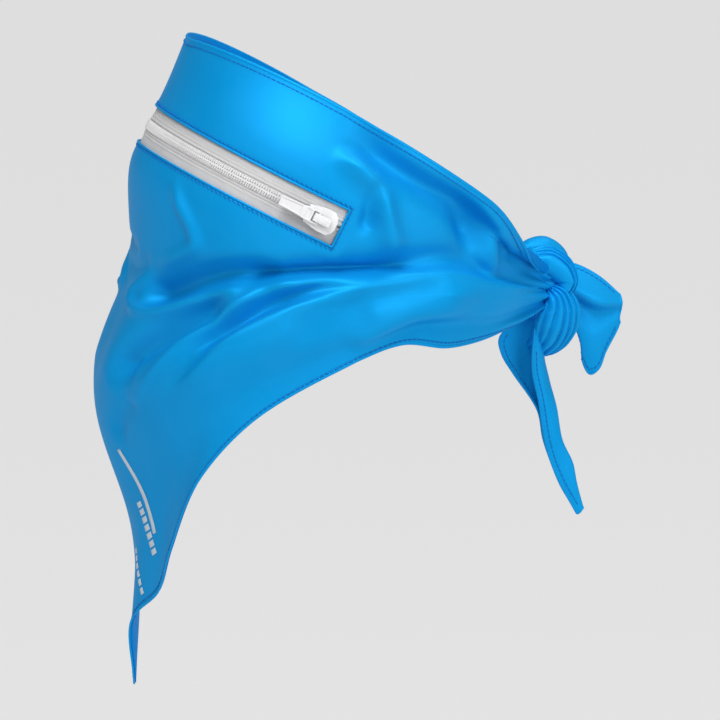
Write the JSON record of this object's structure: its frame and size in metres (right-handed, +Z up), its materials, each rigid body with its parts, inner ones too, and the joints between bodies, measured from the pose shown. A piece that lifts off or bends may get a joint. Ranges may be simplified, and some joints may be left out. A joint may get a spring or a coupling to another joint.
{
  "type": "sports head scarf",
  "caption": "Triangular satin head scarf tied at the back of the head, with a coil-zip pocket round the brow and a point that hangs in front.",
  "frame": {"origin": "centre of the loop at the top edge, where the head goes through", "axes": "+Z up, -Y the way the wearer faces, +X the wearer's left; the knot is at +Y"},
  "size_m": [0.1805, 0.2696, 0.331],
  "materials": {
    "satin_shell": "satin weave with a soft sheen",
    "satin_lining": "smooth knitted lining, matt",
    "pocket_cloth": "thin plain weave",
    "zip_tape": "white herringbone woven tape",
    "zip_coil": "white nylon coil",
    "slider_paint": "white gloss coating on die-cast metal",
    "pawl_steel": "plain spring steel"
  },
  "bodies": {
    "root": {"shell_panel": "satin_shell", "lining_panel": "satin_lining", "pocket_bag": "pocket_cloth", "zipper_tape_upper": "zip_tape", "zipper_tape_lower": "zip_tape", "zipper_coil_upper": "zip_coil", "zipper_coil_lower": "zip_coil", "zipper_top_stops": "slider_paint", "zipper_bottom_stop": "slider_paint", "window_facing": "satin_shell", "knot_core": "satin_shell", "knot_wrap": "satin_shell"},
    "slider": {"slider_body": "slider_paint", "slider_cap": "slider_paint", "locking_pawl": "pawl_steel"},
    "pull": {"pull_tab": "slider_paint"},
    "tail_left": {"tie_tail_left": "satin_shell"},
    "tail_right": {"tie_tail_right": "satin_shell"}
  },
  "joints": [
    {"name": "slider_travel", "type": "hinge", "parent": "root", "child": "slider", "pos_m": [0, -0.03, -0.027], "axis": [0, 0.454, 0.891], "range_deg": [-168, 0]},
    {"name": "pull_tab_flip", "type": "hinge", "parent": "slider", "child": "pull", "pos_m": [0.0889, -0.03942, -0.0222], "axis": [0, 0.454, 0.891], "range_deg": [0, 120]},
    {"name": "tail_left_sway", "type": "hinge", "parent": "root", "child": "tail_left", "pos_m": [0.008, 0.089, -0.092], "axis": [1, 0, 0], "range_deg": [-18, 18], "stiffness_Nm_per_rad": 0.02},
    {"name": "tail_right_sway", "type": "hinge", "parent": "root", "child": "tail_right", "pos_m": [-0.014, 0.108, -0.07], "axis": [1, 0, 0], "range_deg": [-15, 15], "stiffness_Nm_per_rad": 0.02}
  ]
}
